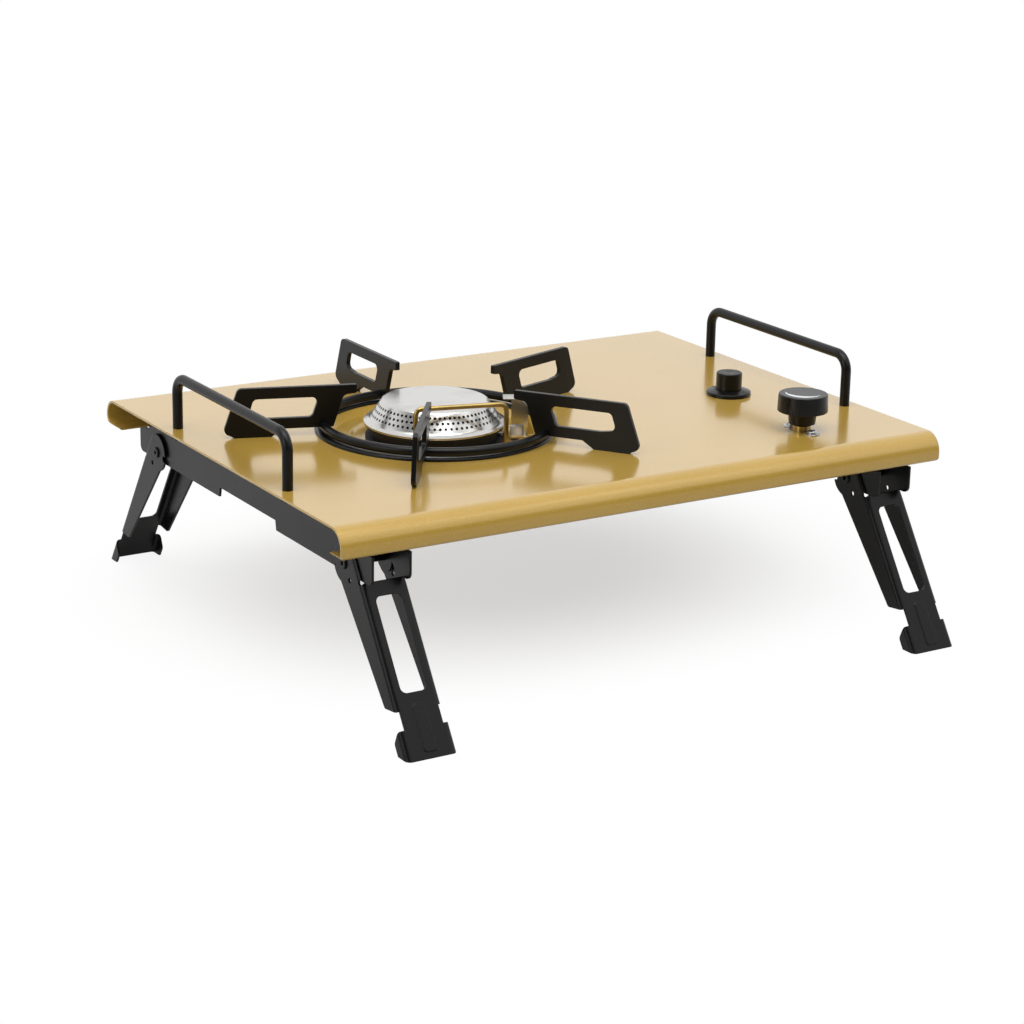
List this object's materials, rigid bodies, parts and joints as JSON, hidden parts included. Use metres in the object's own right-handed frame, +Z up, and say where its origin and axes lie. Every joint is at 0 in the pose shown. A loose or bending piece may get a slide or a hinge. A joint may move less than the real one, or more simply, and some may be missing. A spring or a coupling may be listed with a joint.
{
  "type": "portable gas stove",
  "caption": "Low portable gas stove with a folded sheet top, drilled burner cap, ring trivet with pot supports, side guard rails, knob, igniter button and folding legs.",
  "frame": {"origin": "on the floor under the middle of the stove's outline", "axes": "+X along the length towards the controls, -Y towards the front edge, +Z up"},
  "size_m": [0.45, 0.4348, 0.1693],
  "materials": {
    "gold_paint": "satin metallic",
    "black_coat": "semi-gloss powder coat",
    "burner_black": "matt enamel",
    "polished_steel": "polished",
    "brass": "satin",
    "zinc_steel": "zinc plated",
    "knob_plastic": "matt",
    "button_plastic": "satin",
    "insulator": "glazed ceramic",
    "lead_sleeve": "silicone sleeve"
  },
  "bodies": {
    "frame": {"top_plate": "gold_paint", "left_side_panel": "black_coat", "right_side_panel": "black_coat", "hinge_bracket_front_left": "black_coat", "hinge_pin_front_left": "black_coat", "hinge_bracket_front_right": "black_coat", "hinge_pin_front_right": "black_coat", "hinge_bracket_back_left": "black_coat", "hinge_pin_back_left": "black_coat", "hinge_bracket_back_right": "black_coat", "hinge_pin_back_right": "black_coat", "left_guard_rail": "black_coat", "right_guard_rail": "black_coat", "guard_nuts": "black_coat", "trim_ring": "black_coat", "burner_base": "burner_black", "burner_cap": "polished_steel", "burner_screws": "zinc_steel", "mixing_tube": "zinc_steel", "jet_holder": "zinc_steel", "gas_jet": "brass", "preheat_tube": "brass", "pipe_union": "brass", "feed_pipe": "brass", "supply_pipe": "brass", "gas_inlet": "brass", "inlet_nut": "brass", "valve_body": "brass", "valve_gland": "brass", "valve_screws": "zinc_steel", "igniter_collar": "button_plastic", "igniter_nut": "button_plastic", "piezo_body": "button_plastic", "ignition_lead": "lead_sleeve", "lead_clip": "zinc_steel", "electrode_wire": "polished_steel", "electrode_insulator": "insulator", "electrode_hood": "polished_steel", "electrode_bracket": "gold_paint", "electrode_screw": "zinc_steel"},
    "leg_front_left": {"leg_front_left": "black_coat"},
    "leg_front_right": {"leg_front_right": "black_coat"},
    "leg_back_left": {"leg_back_left": "black_coat"},
    "leg_back_right": {"leg_back_right": "black_coat"},
    "knob": {"control_knob": "knob_plastic", "valve_stem": "brass"},
    "button": {"igniter_button": "button_plastic"},
    "trivet": {"trivet_ring": "black_coat", "pot_support_1": "black_coat", "pot_support_2": "black_coat", "pot_support_3": "black_coat", "pot_support_4": "black_coat", "pot_support_5": "black_coat"}
  },
  "joints": [
    {"name": "leg_front_left_fold", "type": "hinge", "parent": "frame", "child": "leg_front_left", "pos_m": [-0.19, -0.135, 0.099], "axis": [1, 0, 0], "range_deg": [0, 123]},
    {"name": "leg_front_right_fold", "type": "hinge", "parent": "frame", "child": "leg_front_right", "pos_m": [0.19, -0.135, 0.099], "axis": [1, 0, 0], "range_deg": [0, 123]},
    {"name": "leg_back_left_fold", "type": "hinge", "parent": "frame", "child": "leg_back_left", "pos_m": [-0.19, 0.135, 0.099], "axis": [-1, 0, 0], "range_deg": [0, 123]},
    {"name": "leg_back_right_fold", "type": "hinge", "parent": "frame", "child": "leg_back_right", "pos_m": [0.19, 0.135, 0.099], "axis": [-1, 0, 0], "range_deg": [0, 123]},
    {"name": "knob_turn", "type": "hinge", "parent": "frame", "child": "knob", "pos_m": [0.149, -0.117, 0.151], "axis": [0, 0, 1], "range_deg": [0, 270]},
    {"name": "button_press", "type": "slide", "parent": "frame", "child": "button", "axis": [0, 0, -1], "range_m": [0, 0.006], "stiffness_N_per_m": 1500, "springref_m": -0.002},
    {"name": "trivet_lift", "type": "slide", "parent": "frame", "child": "trivet", "axis": [0, 0, 1], "range_m": [0, 0.08]}
  ]
}
